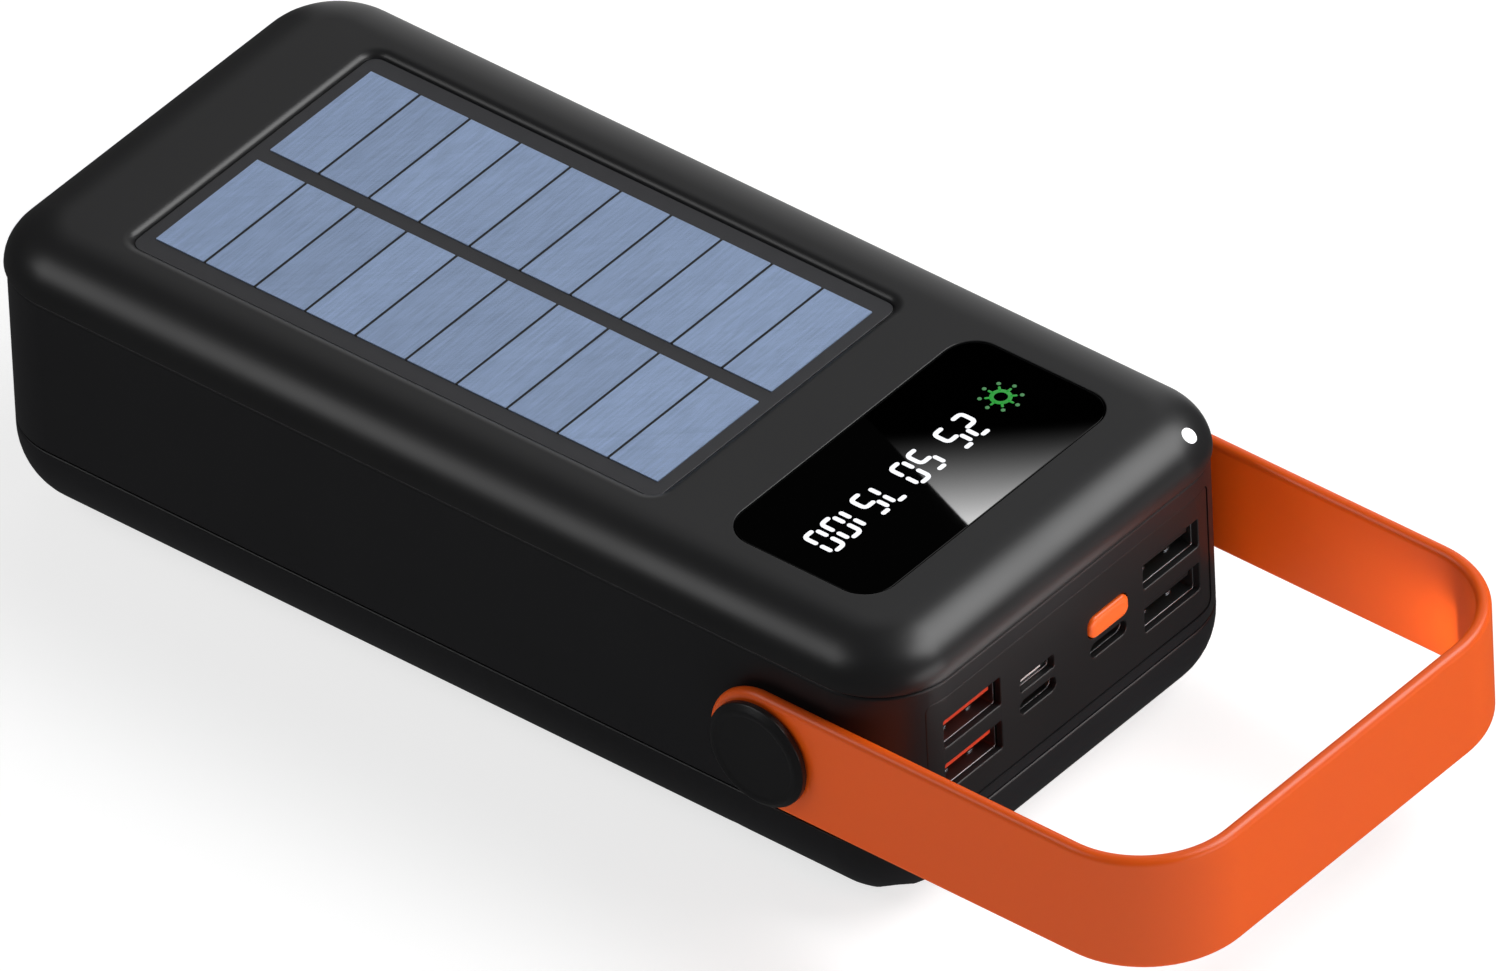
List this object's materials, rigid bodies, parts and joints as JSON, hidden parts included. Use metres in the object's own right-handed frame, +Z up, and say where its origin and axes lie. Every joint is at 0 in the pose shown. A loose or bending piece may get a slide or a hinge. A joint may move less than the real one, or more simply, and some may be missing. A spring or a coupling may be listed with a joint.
{
  "type": "solar phone charger",
  "caption": "Solar power bank with a solar panel and a lit display on its lid, charging sockets at one end and a swinging carry handle.",
  "frame": {"origin": "middle of the flat base, on the surface it rests on", "axes": "+Z up; -Y out of the port end, towards the handle's crossbar; +X to the right of a viewer who faces the port end"},
  "size_m": [0.0956, 0.2376, 0.0524],
  "materials": {
    "lid_plastic": "fine satin moulded",
    "case_plastic": "fine satin moulded",
    "port_plastic": "fine satin moulded",
    "handle_plastic": "satin, orange",
    "button_plastic": "satin, orange",
    "cap_plastic": "satin",
    "seal_rubber": "matte",
    "solar_backing": "coated board",
    "solar_silicon": "textured blue silicon",
    "solar_film": "clear resin",
    "window_gloss": "black gloss",
    "lit_white": "lit segments",
    "lit_green": "lit symbol",
    "white_plastic": "satin",
    "fast_plastic": "orange insulator",
    "black_plastic": "satin",
    "plated_steel": "tin plated",
    "zinc_steel": "zinc plated",
    "gold_brass": "gold flash",
    "board_green": "solder mask",
    "chip_black": "moulded epoxy",
    "ferrite": "ferrite",
    "can_aluminium": "satin",
    "cell_sleeve": "heat-shrunk sleeve",
    "holder_plastic": "moulded",
    "nickel": "bright nickel",
    "lead_red": "silicone insulation",
    "lead_black": "silicone insulation",
    "ribbon_film": "polyimide film",
    "fish_paper": "fibre sheet",
    "foam": "closed-cell foam",
    "washer_nylon": "nylon"
  },
  "bodies": {
    "case": {"top_cover": "lid_plastic", "mid_frame": "case_plastic", "bottom_cover": "case_plastic", "lid_gasket": "seal_rubber", "base_gasket": "seal_rubber", "port_panel": "port_plastic", "solar_board": "solar_backing", "solar_cells": "solar_silicon", "solar_film": "solar_film", "display_window": "window_gloss", "display_digits": "lit_white", "sun_icon": "lit_green", "digit_module": "white_plastic", "display_board": "board_green", "display_ribbon": "ribbon_film", "status_led": "lit_white", "tact_switch": "black_plastic", "usb_shells": "plated_steel", "usb_tongues_fast": "fast_plastic", "usb_tongues_standard": "black_plastic", "micro_usb_shell": "plated_steel", "micro_usb_tongue": "white_plastic", "type_c_shells": "plated_steel", "type_c_tongues": "black_plastic", "input_board": "board_green", "header_pins": "gold_brass", "main_board": "board_green", "inductors": "ferrite", "control_chips": "chip_black", "capacitors": "can_aluminium", "battery_cells": "cell_sleeve", "cell_holders": "holder_plastic", "nickel_strips": "nickel", "battery_lead_positive": "lead_red", "battery_lead_negative": "lead_black", "solar_leads": "lead_red", "insulation_sheet": "fish_paper", "foam_pad": "foam", "pivot_bush_left": "zinc_steel", "pivot_bush_right": "zinc_steel", "pivot_washer_left": "washer_nylon", "pivot_washer_right": "washer_nylon", "pivot_cap_left": "cap_plastic", "pivot_cap_right": "cap_plastic", "pivot_screws": "zinc_steel", "case_screws": "zinc_steel", "board_screws": "zinc_steel"},
    "handle": {"handle": "handle_plastic"},
    "power_button": {"power_button": "button_plastic"}
  },
  "joints": [
    {"name": "handle_swing", "type": "hinge", "parent": "case", "child": "handle", "pos_m": [0, -0.0674, 0.0291], "axis": [-1, 0, 0], "range_deg": [-147, 153]},
    {"name": "button_press", "type": "slide", "parent": "case", "child": "power_button", "axis": [0, 1, 0], "range_m": [0, 0.0006], "stiffness_N_per_m": 600, "springref_m": -0.0004}
  ]
}
